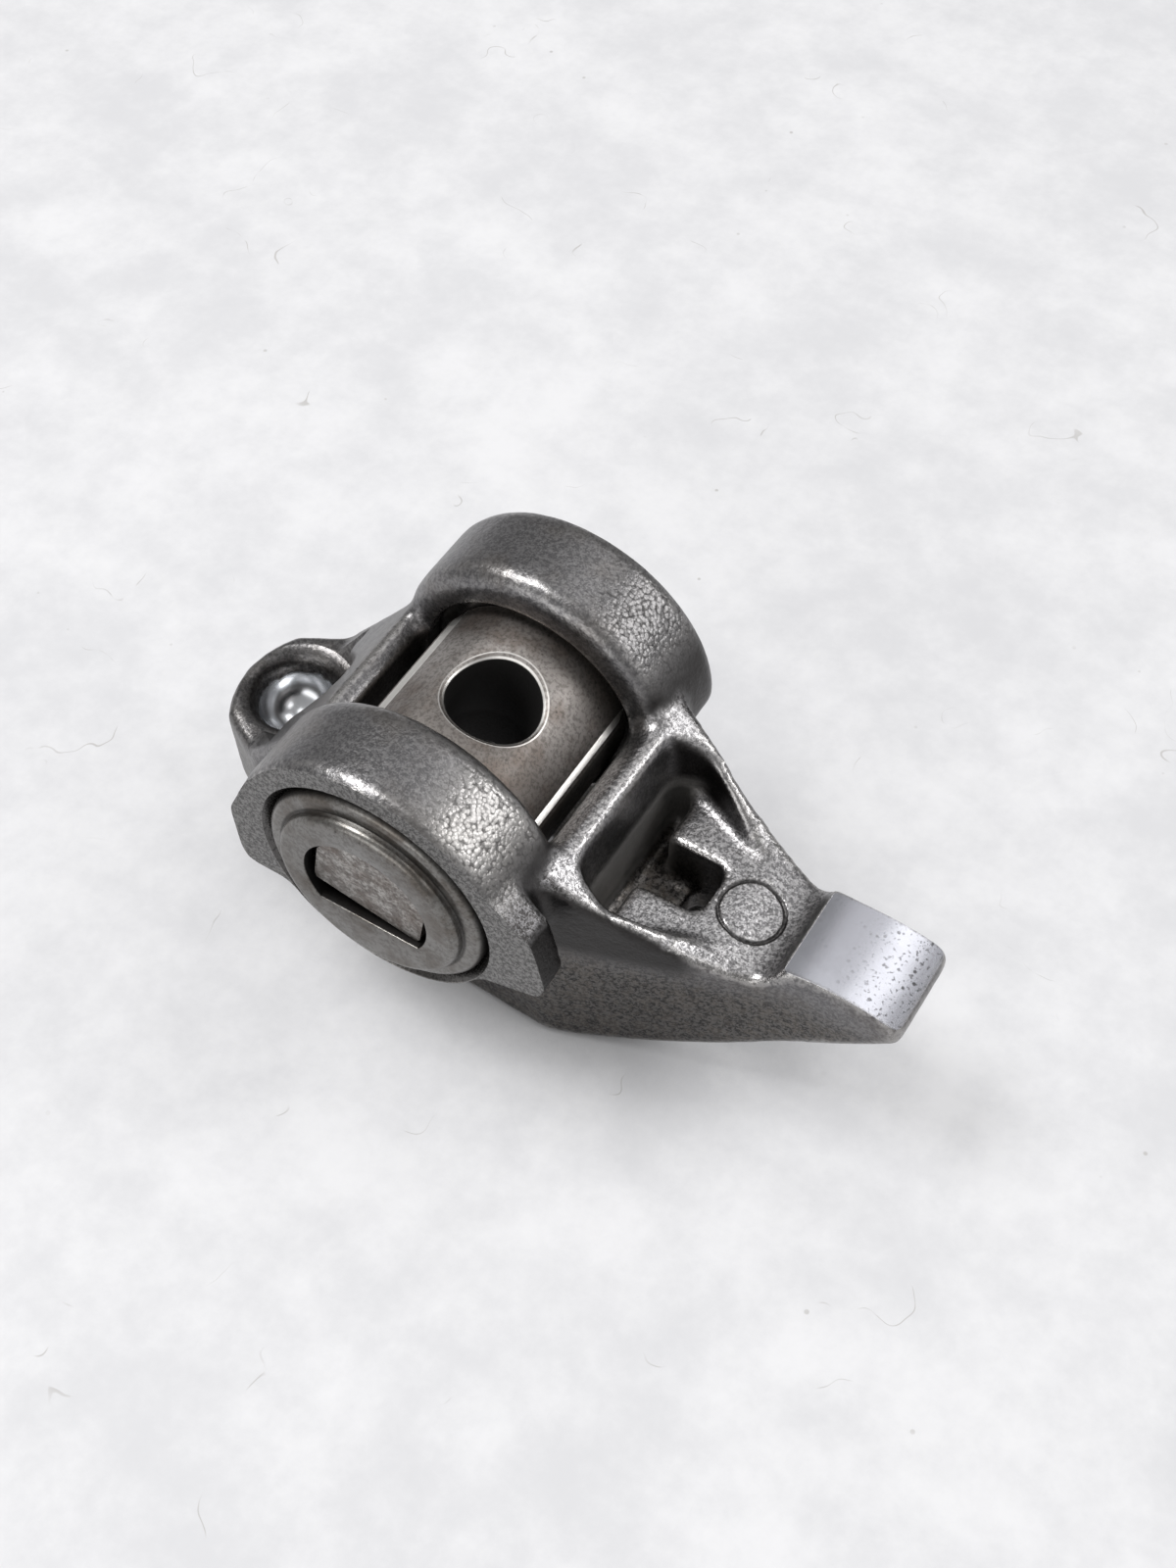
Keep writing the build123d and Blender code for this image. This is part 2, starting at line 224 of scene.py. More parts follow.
# %% Sizes of the casting's machined places
BORE_RADIUS = 11.0 * MM
GROOVE_WIDTH = 0.8 * MM
GROOVE_DEPTH = 1.1 * MM
HUB_FACE = 16.85 * MM
WINDOW_HALF_WIDTH = 7.75 * MM
ARM_TOP = -4.7 * MM
SOCKET_RADIUS = 4.0 * MM
SOCKET_DEPTH = 5.5 * MM
SOCKET_MOUTH = 4.7 * MM
SOCKET_FLARE = 5.6 * MM
PUSHROD_ARM = -21.3 * MM
VALVE_ARM = 37.1 * MM
PAD_INNER = 33.1 * MM
PAD_OUTER = 44.5 * MM
PAD_HALF_WIDTH = 4.35 * MM
PAD_RADIUS = 22.15 * MM
PAD_TOP = -1.67 * MM
PAD_AXIS = Vector((VALVE_ARM, 0, PAD_TOP - PAD_RADIUS))
SOCKET_MIDDLE = Vector((PUSHROD_ARM, 0, ARM_TOP - SOCKET_DEPTH + SOCKET_RADIUS))
print("hub faces, mm", round(2 * HUB_FACE / MM, 2), "apart")

# %% [markdown]
# Every shape below takes a few bmesh steps, so the helpers come first. One makes a piece of a
# bmesh, one copies a CAD node and others add a block, a rod or a spun solid. `cut` takes a
# cutter out of a piece with an exact boolean, which keeps the edges crisp, as a tool does.

# %% Casting helpers
PIVOT_TURN = Matrix.Rotation(math.radians(90), 4, "X")
SPIN_STEPS = 160


def new_piece(name, bm):
    """A finished piece at the origin, made from a bmesh."""
    mesh = bpy.data.meshes.new(name)
    bm.to_mesh(mesh)
    bm.free()
    if "custom_normal" in mesh.attributes:
        mesh.attributes.remove(mesh.attributes["custom_normal"])
    mesh.materials.clear()
    piece = bpy.data.objects.new(name, mesh)
    bpy.context.scene.collection.objects.link(piece)
    return piece


def merged(node):
    """A bmesh copy of a CAD node, with its loose triangles joined."""
    bm = bmesh.new()
    bm.from_mesh(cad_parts[node].data)
    bmesh.ops.remove_doubles(bm, verts=bm.verts, dist=0.001 * MM)
    return bm


def raise_faces(bm, faces, rise):
    """Extrudes faces and moves the new ones by a vector."""
    grown = bmesh.ops.extrude_face_region(bm, geom=faces)["geom"]
    verts = [item for item in grown if isinstance(item, bmesh.types.BMVert)]
    bmesh.ops.translate(bm, verts=verts, vec=rise)


def add_block(bm, low, high):
    """Adds a rectangular block to a bmesh, from its lowest corner to its highest."""
    middle = (Vector(low) + Vector(high)) / 2
    size = Matrix.Diagonal((*(Vector(high) - Vector(low)), 1.0))
    bmesh.ops.create_cube(bm, size=1.0, matrix=Matrix.Translation(middle) @ size)


def add_rod(bm, radius, length, segments, place):
    """Adds a round rod to a bmesh. It stands along Z until the matrix `place` moves it."""
    bmesh.ops.create_cone(
        bm, cap_ends=True, segments=segments, depth=length, radius1=radius, radius2=radius, matrix=place
    )


def spun(profile, centre, axis):
    """A closed solid of revolution from (radius, height) points along an axis at a centre."""
    bm = bmesh.new()
    turn = Vector((0, 0, 1)).rotation_difference(axis).to_matrix().to_4x4()
    place = Matrix.Translation(centre) @ turn
    verts = [bm.verts.new(place @ Vector((radius, 0, height))) for radius, height in profile]
    edges = [bm.edges.new(pair) for pair in zip(verts, verts[1:])]
    bmesh.ops.spin(
        bm, geom=verts + edges, cent=centre, axis=axis, angle=math.tau, steps=SPIN_STEPS,
        use_merge=True,
    )
    bmesh.ops.remove_doubles(bm, verts=bm.verts, dist=0.0005 * MM)
    bmesh.ops.recalc_face_normals(bm, faces=bm.faces)
    return bm


def settle(piece):
    """Applies a piece's modifiers to its mesh."""
    graph = bpy.context.evaluated_depsgraph_get()
    made = bpy.data.meshes.new_from_object(piece.evaluated_get(graph))
    piece.modifiers.clear()
    piece.data = made


def cut(piece, cutter):
    """Cuts a solid out of a piece, and throws the cutter away."""
    boolean = piece.modifiers.new("cut", "BOOLEAN")
    boolean.operation = "DIFFERENCE"
    boolean.solver = "EXACT"
    boolean.object = cutter
    settle(piece)
    bpy.data.objects.remove(cutter)


print("casting helpers ready")

# %% Add the machining stock
FACE_STOCK = 1.2 * MM
BORE_STOCK = 0.4 * MM
SOCKET_STOCK = 0.8 * MM
PAD_STOCK = 0.7 * MM
PAD_STOCK_DEPTH = 2.6 * MM
PAD_STOCK_SHORT = 0.9 * MM

casting_bm = merged("rocker_body")
for side in (-1, 1):
    hub_faces = [
        face for face in casting_bm.faces
        if side * face.normal.y > 0.99
        and abs(side * face.calc_center_median().y - HUB_FACE) < 0.01 * MM
    ]
    raise_faces(casting_bm, hub_faces, (0, side * FACE_STOCK, 0))
    plug_end = HUB_FACE + FACE_STOCK
    plug_length = plug_end - WINDOW_HALF_WIDTH
    plug_middle = Matrix.Translation((0, side * (plug_end + WINDOW_HALF_WIDTH) / 2, 0))
    plug_place = plug_middle @ PIVOT_TURN
    add_rod(casting_bm, BORE_RADIUS + BORE_STOCK, plug_length, segments=96, place=plug_place)
socket_plug = SOCKET_DEPTH + SOCKET_STOCK
socket_place = Matrix.Translation((PUSHROD_ARM, 0, ARM_TOP - socket_plug / 2))
add_rod(casting_bm, SOCKET_MOUTH - 0.2 * MM, socket_plug, segments=64, place=socket_place)
add_block(
    casting_bm, (PAD_INNER, -PAD_HALF_WIDTH, PAD_TOP - PAD_STOCK_DEPTH),
    (PAD_OUTER - PAD_STOCK_SHORT, PAD_HALF_WIDTH, PAD_TOP + PAD_STOCK),
)
casting = new_piece("cast_rocker_body", casting_bm)
print("casting blank", len(casting.data.vertices), "vertices")

# %% [markdown]
# The trench under the pocket is as wide as the pocket, so a wedge opens it to both walls
# before the skin is made. Otherwise the remesh would turn the narrow ledges into rags.

# %% Open the trench to the pocket's walls
TRENCH_START = 15.0 * MM
TRENCH_END = 17.4 * MM
TRENCH_START_HALF = 7.75 * MM
TRENCH_END_HALF = 8.75 * MM
TRENCH_FLOOR = -8.6 * MM
SHELF_TOP = -3.2 * MM

wedge_bm = bmesh.new()
outline = [
    (TRENCH_START, -TRENCH_START_HALF), (TRENCH_END, -TRENCH_END_HALF),
    (TRENCH_END, TRENCH_END_HALF), (TRENCH_START, TRENCH_START_HALF),
]
wedge_face = wedge_bm.faces.new([wedge_bm.verts.new((x, y, TRENCH_FLOOR)) for x, y in outline])
raise_faces(wedge_bm, [wedge_face], (0, 0, SHELF_TOP + 0.4 * MM - TRENCH_FLOOR))
bmesh.ops.recalc_face_normals(wedge_bm, faces=wedge_bm.faces)
cut(casting, new_piece("trench_wedge", wedge_bm))
print("trench opened", len(casting.data.vertices), "vertices")

# %% [markdown]
# Inner corners could be bevelled edge by edge, but the CAD mesh meets there in many short
# edges. A voxel remesh doesn't mind them. Pushing its skin out and back in by one distance
# fills each inner corner with that radius, and leaves the flat faces where they were.

# %% Give it foundry corners
CORNER_RADIUS = 0.6 * MM
SKIN_VOXEL = 0.34 * MM


def remesh(piece, voxel):
    """Fuses a piece into one skin of even, small faces."""
    modifier = piece.modifiers.new("fuse", "REMESH")
    modifier.mode = "VOXEL"
    modifier.voxel_size = voxel


def push(piece, distance):
    """Moves the skin along its normals, out or in."""
    modifier = piece.modifiers.new("push", "DISPLACE")
    modifier.direction = "NORMAL"
    modifier.mid_level = 0.0
    modifier.strength = distance


def smooth(piece, rounds, group=""):
    """Relaxes the skin, or only the points of one vertex group."""
    modifier = piece.modifiers.new("smooth", "SMOOTH")
    modifier.factor = 0.5
    modifier.iterations = rounds
    modifier.vertex_group = group


remesh(casting, SKIN_VOXEL)
push(casting, CORNER_RADIUS)
remesh(casting, SKIN_VOXEL)
push(casting, -CORNER_RADIUS)
remesh(casting, SKIN_VOXEL)
smooth(casting, 6)
settle(casting)
print("foundry corners", len(casting.data.vertices), "vertices")

# %% [markdown]
# The crest and the rails round the pocket are blended on a belt, so they are smoothed far
# more than the rest. The fine clouds then lift and sink the whole skin, and what they lift
# past the top or the flat back is pressed level again.

# %% Blend the crest and give the skin its relief
CREST_BOX = ((11.8, 24.0), (-9.6, 9.6), (-2.2, 6.0))  # from and to on X, Y and Z, in mm
SKIN_LUMP_SIZE = 1.3 * MM
SKIN_RELIEF = 0.06 * MM

blended = casting.vertex_groups.new(name="blended")
for vert in casting.data.vertices:
    inside = [low < place / MM < high for place, (low, high) in zip(vert.co, CREST_BOX)]
    if all(inside):
        blended.add([vert.index], 1.0, "REPLACE")
smooth(casting, 30, "blended")

lumps = bpy.data.textures.new("skin_lumps", "CLOUDS")
lumps.noise_scale = SKIN_LUMP_SIZE
lumps.noise_depth = 1
skin = casting.modifiers.new("skin", "DISPLACE")
skin.texture = lumps
skin.texture_coords = "LOCAL"
skin.mid_level = 0.5
skin.strength = SKIN_RELIEF
settle(casting)

body_low, body_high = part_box("rocker_body")
for vert in casting.data.vertices:
    vert.co.z = min(max(vert.co.z, body_low.z), body_high.z)
print("casting skin", len(casting.data.vertices), "vertices")

# %% [markdown]
# ## A plain ring in the shelf
# The shelf behind the valve pad carries a shallow pressed ring with nothing in it. The mesh
# there is coarser than the groove, so the faces round it are first divided. The points near
# the ring are then lowered, most on the ring itself and less beside it, as a blunt punch would.

# %% Press the ring
RING_CENTRE = Vector((27.6, 0)) * MM
RING_RADIUS = 2.95 * MM
RING_HALF_WIDTH = 0.24 * MM
RING_DEPTH = 0.22 * MM
RING_ROOM = 0.6 * MM
SHELF_LOW = -6 * MM
SHELF_HIGH = -1 * MM


def off_ring(place):
    """Distance from the ring's middle line, seen from above."""
    return abs((Vector(place[:2]) - RING_CENTRE).length - RING_RADIUS)


ring_bm = bmesh.new()
ring_bm.from_mesh(casting.data)
near_ring = [
    edge for edge in ring_bm.edges
    if all(off_ring(vert.co) < RING_ROOM and SHELF_LOW < vert.co.z < SHELF_HIGH for vert in edge.verts)
]
bmesh.ops.subdivide_edges(ring_bm, edges=near_ring, cuts=2, use_grid_fill=True)
pressed = 0
for vert in ring_bm.verts:
    off = off_ring(vert.co) / RING_HALF_WIDTH
    if off < 1 and SHELF_LOW < vert.co.z < SHELF_HIGH:
        vert.co.z -= RING_DEPTH * (1 - off * off)
        pressed += 1
bmesh.ops.triangulate(ring_bm, faces=[face for face in ring_bm.faces if len(face.verts) > 4])
ring_bm.to_mesh(casting.data)
ring_bm.free()
print("points pressed", pressed)

# %% [markdown]
# ## Machining
# One spun cutter, shaped like a cotton reel, bores both hubs and faces them in one go, so the
# bores share one axis as they do on the real arm. It starts a little way inside each bore, and
# its waist keeps clear of the window between the hubs. The slope at each face leaves the open
# groove round the bearing cup.

# %% Bore and face the hubs
REACH = 3 * MM
FACING_RADIUS = 32 * MM
REEL_WAIST = 7.2 * MM
REEL_WAIST_RADIUS = 9.5 * MM

half_reel = [
    (REEL_WAIST_RADIUS, REEL_WAIST),
    (BORE_RADIUS, REEL_WAIST),
    (BORE_RADIUS, HUB_FACE - GROOVE_DEPTH),
    (BORE_RADIUS + GROOVE_WIDTH, HUB_FACE),
    (FACING_RADIUS, HUB_FACE),
    (FACING_RADIUS, HUB_FACE + REACH),
    (0, HUB_FACE + REACH),
]
other_half = [(radius, -height) for radius, height in reversed(half_reel)]
cut(casting, new_piece("boring_reel", spun(other_half + half_reel, Vector(), Vector((0, 1, 0)))))
print("hubs bored", len(casting.data.polygons), "faces")

# %% [markdown]
# The pad's crown is part of a large cylinder that lies across the arm. The grinder is a block
# with that cylinder taken out of it, so it removes only the stock that stands above the crown.
# The cylinder has 720 sides, which makes the ground face look round and not faceted.

# %% Grind the pad
GRINDER_HALF_WIDTH = 8 * MM
GRINDER_DEPTH = 4 * MM
WHEEL_LENGTH = 30 * MM
WHEEL_CLEARANCE = 0.02 * MM

grinder_bm = bmesh.new()
add_block(
    grinder_bm, (PAD_INNER - 1 * MM, -GRINDER_HALF_WIDTH, PAD_TOP - GRINDER_DEPTH),
    (PAD_OUTER + 2 * MM, GRINDER_HALF_WIDTH, PAD_TOP + GRINDER_DEPTH),
)
grinder = new_piece("pad_grinder", grinder_bm)
wheel_bm = bmesh.new()
wheel_place = Matrix.Translation(PAD_AXIS) @ PIVOT_TURN
add_rod(wheel_bm, PAD_RADIUS + WHEEL_CLEARANCE, WHEEL_LENGTH, segments=720, place=wheel_place)
cut(grinder, new_piece("pad_wheel", wheel_bm))
cut(casting, grinder)
print("pad ground", len(casting.data.polygons), "faces")

# %% [markdown]
# The pushrod's ball turns in the socket, so the bowl is a true ball and its lip flares out to
# a wider mouth. Both are one profile, worked out from angles and spun round an upright axis.

# %% Cut the ball socket and its flared mouth
BOWL_STEPS = 40
BOWL_TOP = math.radians(78)
FLARE_STEPS = 8
FLARE_TURN = math.radians(82)

socket_profile = [
    (SOCKET_RADIUS * math.sin(turn), -SOCKET_RADIUS * math.cos(turn))
    for turn in (BOWL_TOP * step / BOWL_STEPS for step in range(BOWL_STEPS + 1))
]
mouth_height = ARM_TOP - SOCKET_MIDDLE.z
bowl_lip = Vector(socket_profile[-1])
flare = Vector((SOCKET_FLARE, mouth_height)) - bowl_lip
for step in range(1, FLARE_STEPS + 1):
    turn = FLARE_TURN * step / FLARE_STEPS
    outward = (1 - math.cos(turn)) / (1 - math.cos(FLARE_TURN))
    upward = math.sin(turn) / math.sin(FLARE_TURN)
    socket_profile.append((bowl_lip.x + flare.x * outward, bowl_lip.y + flare.y * upward))
socket_profile.append((SOCKET_FLARE + REACH, mouth_height + REACH))
socket_profile.append((0, mouth_height + REACH))
cut(casting, new_piece("socket_cutter", spun(socket_profile, SOCKET_MIDDLE, Vector((0, 0, 1)))))
casting_triangles = sum(len(face.vertices) - 2 for face in casting.data.polygons)
print("casting cut", casting_triangles, "triangles")

# %% [markdown]
# ## Where the edges are
# Handling brightens the outer edges of a casting, and its inner corners are made darker. A copy
# of the mesh is smoothed hard, and how far each vertex then sinks along its own normal tells
# an outer edge from an inner corner. That depth is stored as an attribute for the materials.

# %% Measure the edges
EDGE_SMOOTHING = 4
EDGE_SCALE = 0.045 * MM


def measure_edges(piece):
    """Stores `edge` on each vertex: 1 on an outer edge, 0.5 on a flat, 0 in an inner corner."""
    smooth_bm = bmesh.new()
    smooth_bm.from_mesh(piece.data)
    for _ in range(EDGE_SMOOTHING):
        bmesh.ops.smooth_vert(
            smooth_bm, verts=smooth_bm.verts, factor=0.5,
            use_axis_x=True, use_axis_y=True, use_axis_z=True,
        )
    attribute = piece.data.attributes.new("edge", "FLOAT", "POINT")
    sunk = [
        (old.co - new.co).dot(old.normal) for old, new in zip(piece.data.vertices, smooth_bm.verts)
    ]
    smooth_bm.free()
    shares = [min(max(0.5 + 0.5 * depth / EDGE_SCALE, 0), 1) for depth in sunk]
    attribute.data.foreach_set("value", shares)
    return max(sunk)


print("deepest edge, mm", round(measure_edges(casting) / MM, 3))

# %% [markdown]
# ## The turned pieces
# The trunnion and the cups are turned, milled and drawn, so their surfaces are true and
# their edges crisp. The CAD meshes are fine enough for that. A narrow bevel on each sharp
# edge is all that they need, because a real edge always has a thin line of light on it.

# %% Trunnion and bearing cups
SHARP_EDGE = math.radians(28)


def crisp_copy(node, name, bevel):
    """A copy of a CAD node with its flat triangles joined and its sharp edges bevelled."""
    bm = merged(node)
    bmesh.ops.dissolve_limit(bm, angle_limit=math.radians(0.3), verts=bm.verts, edges=bm.edges)
    sharp = [edge for edge in bm.edges if edge.is_manifold and edge.calc_face_angle() > SHARP_EDGE]
    bmesh.ops.bevel(
        bm, geom=sharp, offset=bevel, affect="EDGES", segments=2, profile=0.5, material=-1,
        clamp_overlap=True,
    )
    piece = new_piece(name, bm)
    print(name, len(piece.data.polygons), "faces,", len(sharp), "edges bevelled")
    return piece


trunnion = crisp_copy("trunnion", "turned_trunnion", 0.09 * MM)
near_cup = crisp_copy("near_bearing_cup", "near_drawn_cup", 0.08 * MM)
far_cup = crisp_copy("far_bearing_cup", "far_drawn_cup", 0.08 * MM)
for piece in (casting, trunnion, near_cup, far_cup):
    piece.data.shade_smooth()
    piece.data.set_sharp_from_angle(angle=SHARP_EDGE)

# %% [markdown]
# ## Cast and blasted steel
# Shot blasting leaves a fine pebbled skin that sparkles, dark in the hollows and bright on
# worn edges. The machined places belong to the same piece of steel, so they are masks in the
# same material: 1 where the place is, 0 elsewhere and a soft rise between. A mask only chooses
# between two colours, so the colours come first, in the order dark to light.

# %% Colours and roughness of the casting
CAST_HOLLOW = (0.035, 0.033, 0.032)
SIDE_DARK = (0.024, 0.022, 0.021)
SIDE_LIGHT = (0.125, 0.118, 0.112)
CAST_DARK = (0.125, 0.122, 0.125)
CAST_LIGHT = (0.215, 0.21, 0.212)
CAST_BROWN = (0.17, 0.148, 0.126)
# Worn steel, and also the colour of painted light on the shoulders, window slope and pocket.
CAST_WORN_AND_LIT = (0.48, 0.465, 0.45)
TOPLIT_BLASTED_DARK = (0.19, 0.186, 0.19)
TOPLIT_BLASTED_LIGHT = (0.57, 0.559, 0.565)
FACED_DARK = (0.085, 0.083, 0.08)
FACED_LIGHT = (0.235, 0.23, 0.225)
GROUND_DARK = (0.36, 0.36, 0.395)
GROUND_LIGHT = (0.46, 0.465, 0.505)
POLISHED = (0.62, 0.63, 0.65)
CAST_ROUGHNESS = 0.3
FACED_ROUGHNESS = 0.42
GROUND_ROUGHNESS = 0.24
POLISHED_ROUGHNESS = 0.2
print("worn steel reflects", CAST_WORN_AND_LIT)

# %% [markdown]
# Every mask starts from a few measures of where a point lies, and from noises of a few sizes.
# The noise gives what no measure can: grain, pebbles, the crevices between them and stains.
# A `SimpleNamespace` is a bag of named values, so one argument can hand them all on.

# %% Measures and noises
def measures(finish):
    """Where a point lies, and how far the surface faces up there."""
    return SimpleNamespace(
        along=finish.axis("X"),
        side=finish.axis("Y"),
        across=abs(finish.axis("Y")),
        height=finish.axis("Z"),
        from_pivot=finish.distance((0, 0, 0), keep=(1, 0, 1)),
        upward=finish.facing_up().step(0.35, 0.8),
    )


def noises(finish):
    """The casting's textures, from the finest to the widest."""
    grain = finish.noise(0.17 * MM, detail=1.5, roughness=0.55)
    pebbles = finish.noise(0.4 * MM, detail=1.5, roughness=0.5)
    cells = finish.pits(0.42 * MM)
    domes = cells * cells
    return SimpleNamespace(
        grain=grain,
        pebbles=pebbles,
        domes=domes,
        skin=(grain + pebbles).step(0.84, 1.16),
        crevices=(domes + pebbles * 0.6).step(0.62, 0.85),
        mottle=finish.noise(0.9 * MM, detail=3.0, roughness=0.6).step(0.44, 0.62),
        stain=finish.noise(7 * MM, detail=4.0, roughness=0.6),
    )


print("measures and noises ready")

# %% [markdown]
# The machined places are found by their shapes: the hub faces by their distance along the
# pivot, the pad by its distance from the pad's own axis, and the polished bowl by its distance
# from the ball's centre. The bowl's polish ends in a ragged line, where the ball has rubbed.

# %% Masks of the machined places
GROOVE_RADIUS = BORE_RADIUS + GROOVE_WIDTH


def machined_places(finish, at):
    """Masks for the hub faces, the bore groove, the pad, the ball socket and the ring."""
    faced = at.across.step(HUB_FACE - 0.03 * MM, HUB_FACE - 0.01 * MM)
    # Painted shade in the open groove round the bearing cup.
    groove_shade = at.from_pivot.step(GROOVE_RADIUS + 0.05 * MM, GROOVE_RADIUS - 0.05 * MM)
    groove_shade = groove_shade * at.across.step(HUB_FACE - 0.03 * MM, HUB_FACE - 0.08 * MM)
    groove_shade = groove_shade * at.across.step(14 * MM, 14.5 * MM)
    off_pad = abs(finish.distance(PAD_AXIS, keep=(1, 0, 1)) - PAD_RADIUS)
    ground = off_pad.step(0.05 * MM, 0.035 * MM) * at.across.step(4.9 * MM, 4.3 * MM)
    ground = ground * at.along.step(PAD_INNER, PAD_INNER + 0.05 * MM)
    bowl = finish.distance(SOCKET_MIDDLE).step(SOCKET_RADIUS + 0.06 * MM, SOCKET_RADIUS + 0.03 * MM)
    ragged = at.height + finish.noise(0.9 * MM) * 1.1 * MM
    polished = bowl * ragged.step(-6.3 * MM, -6.9 * MM)
    off_socket = finish.distance((PUSHROD_ARM, 0, 0), keep=(1, 1, 0))
    # Painted shade on the socket's flared mouth.
    dish_shade = off_socket.step(SOCKET_FLARE, SOCKET_FLARE - 0.1 * MM)
    dish_shade = dish_shade * at.height.step(ARM_TOP - 0.03 * MM, ARM_TOP - 0.12 * MM)
    # Painted shade in the pressed ring's groove.
    off_ring_line = abs(finish.distance((RING_CENTRE.x, 0, 0), keep=(1, 1, 0)) - RING_RADIUS)
    ring = off_ring_line.step(0.3 * MM, 0.1 * MM) * at.height.step(-6 * MM, -5.5 * MM)
    ring = ring * at.along.step(24 * MM, 24.5 * MM)
    return SimpleNamespace(
        faced=faced,
        groove_shade=groove_shade,
        ground=ground,
        polished=polished,
        dish_shade=dish_shade,
        ring=ring,
        any=(faced + ground + polished).capped(),
    )


print("machined masks ready")

# %% [markdown]
# The cast skin isn't the same all over. Hands and rags have rubbed the hubs' shoulders, and a
# highlight is painted on them too. The shelf and the crest took the full blast, and their upward
# faces are painted lighter as top light. The hubs' far flanks and the lug's top get painted shade,
# the window slope and the pocket get painted light, and the side walls are darker and browner
# towards the bench.

# %% Masks of the cast skin
def cast_places(finish, at, noise):
    """Masks for the places where the cast skin differs."""
    valve_side = at.along.step(11 * MM, 12.5 * MM)
    valve_side = valve_side * at.along.step(PAD_INNER + 0.5 * MM, PAD_INNER - 1.5 * MM)
    # Wear and a painted highlight on the hubs' shoulders; the near hub gets the larger share.
    rubbed_and_highlit = at.from_pivot.step(13.5 * MM, 14.5 * MM) * at.along.step(3 * MM, 8 * MM)
    rubbed_and_highlit = rubbed_and_highlit * at.height.step(5 * MM, 9 * MM)
    # Blasted skin with painted top light: only faces that look up, and less on the far side.
    blasted_and_toplit = at.upward * valve_side * at.height.step(SHELF_TOP - 1.4 * MM, SHELF_TOP - 0.6 * MM)
    blasted_and_toplit = blasted_and_toplit * at.across.step(11 * MM, 9.8 * MM) * (1 - at.side.step(0, 6 * MM) * 0.4)
    # Painted light on the crest's slope down to the window.
    slope_light = at.along.step(11 * MM, 11.3 * MM) * at.along.step(14.2 * MM, 13.2 * MM)
    slope_light = slope_light * at.height.step(0, 1.5 * MM)
    # Painted shade on the lug's upward top.
    lug_top_shade = at.upward * at.along.step(9.6 * MM, 11 * MM)
    lug_top_shade = lug_top_shade * at.across.step(10 * MM, 11 * MM) * (1 - rubbed_and_highlit)
    # Painted light inside the pocket; it is also made rougher.
    pocket_light = at.along.step(13.6 * MM, 14.6 * MM) * at.along.step(19 * MM, 17.5 * MM)
    pocket_light = pocket_light * at.across.step(9 * MM, 8 * MM) * at.height.step(-0.6 * MM, -2.2 * MM)
    # Painted shade on the hubs' far flanks, towards the pad.
    flank_shade = at.from_pivot.step(12.5 * MM, 13.5 * MM) * at.along.step(10.8 * MM, 12.6 * MM)
    flank_shade = flank_shade * at.across.step(7 * MM, 8 * MM) * (1 - valve_side * at.upward)
    edge = finish.attribute("edge")
    handled = at.along.step(-17 * MM, -13 * MM)
    worn = edge.step(0.62, 0.98) * noise.pebbles.step(0.25, 0.5) * (0.15 + handled * 0.85)
    return SimpleNamespace(
        rubbed_and_highlit=rubbed_and_highlit,
        rubbed_and_highlit_share=0.15 + at.side.step(5 * MM, -5 * MM) * 0.6,
        blasted_and_toplit=blasted_and_toplit,
        slope_light=slope_light,
        lug_top_shade=lug_top_shade,
        pocket_light=pocket_light * (1 - at.upward),
        flank_shade=flank_shade * at.height.step(-7 * MM, -4 * MM),
        low_side=at.height.step(-3 * MM, -9 * MM),
        worn=worn,
        hollow=edge.step(0.42, 0.15) * (0.2 + handled * 0.8),
    )


print("cast masks ready")

# %% [markdown]
# The colour is painted in layers, as a model maker would: the skin first, then stains, wear,
# painted light and painted shade, and the clean machined steel last. The pad gets its own few
# layers, with more pits towards the tip, where it has met the valve stem most.

# %% Paint the casting
def ground_tone(finish, at, noise):
    """Blue-grey ground steel, pitted towards the tip of the pad."""
    outward = at.along.step(PAD_INNER + 3 * MM, PAD_OUTER - 2 * MM)
    tip = at.along.step(PAD_OUTER - 1.1 * MM, PAD_OUTER - 0.5 * MM)
    nicks = finish.pits(0.85 * MM).step(0.26, 0.16) * finish.noise(1.6 * MM).step(0.6, 0.46)
    fine_nicks = finish.noise(0.34 * MM, detail=2.0, roughness=0.6).step(0.58, 0.66)
    return finish.layered(GROUND_LIGHT, [
        (noise.stain.step(0.45, 0.62) * 0.4, GROUND_DARK),
        (nicks * (0.08 + outward * 0.75), CAST_HOLLOW),
        (fine_nicks * outward * 0.7, CAST_HOLLOW),
        (tip * 0.6, CAST_LIGHT),
    ])


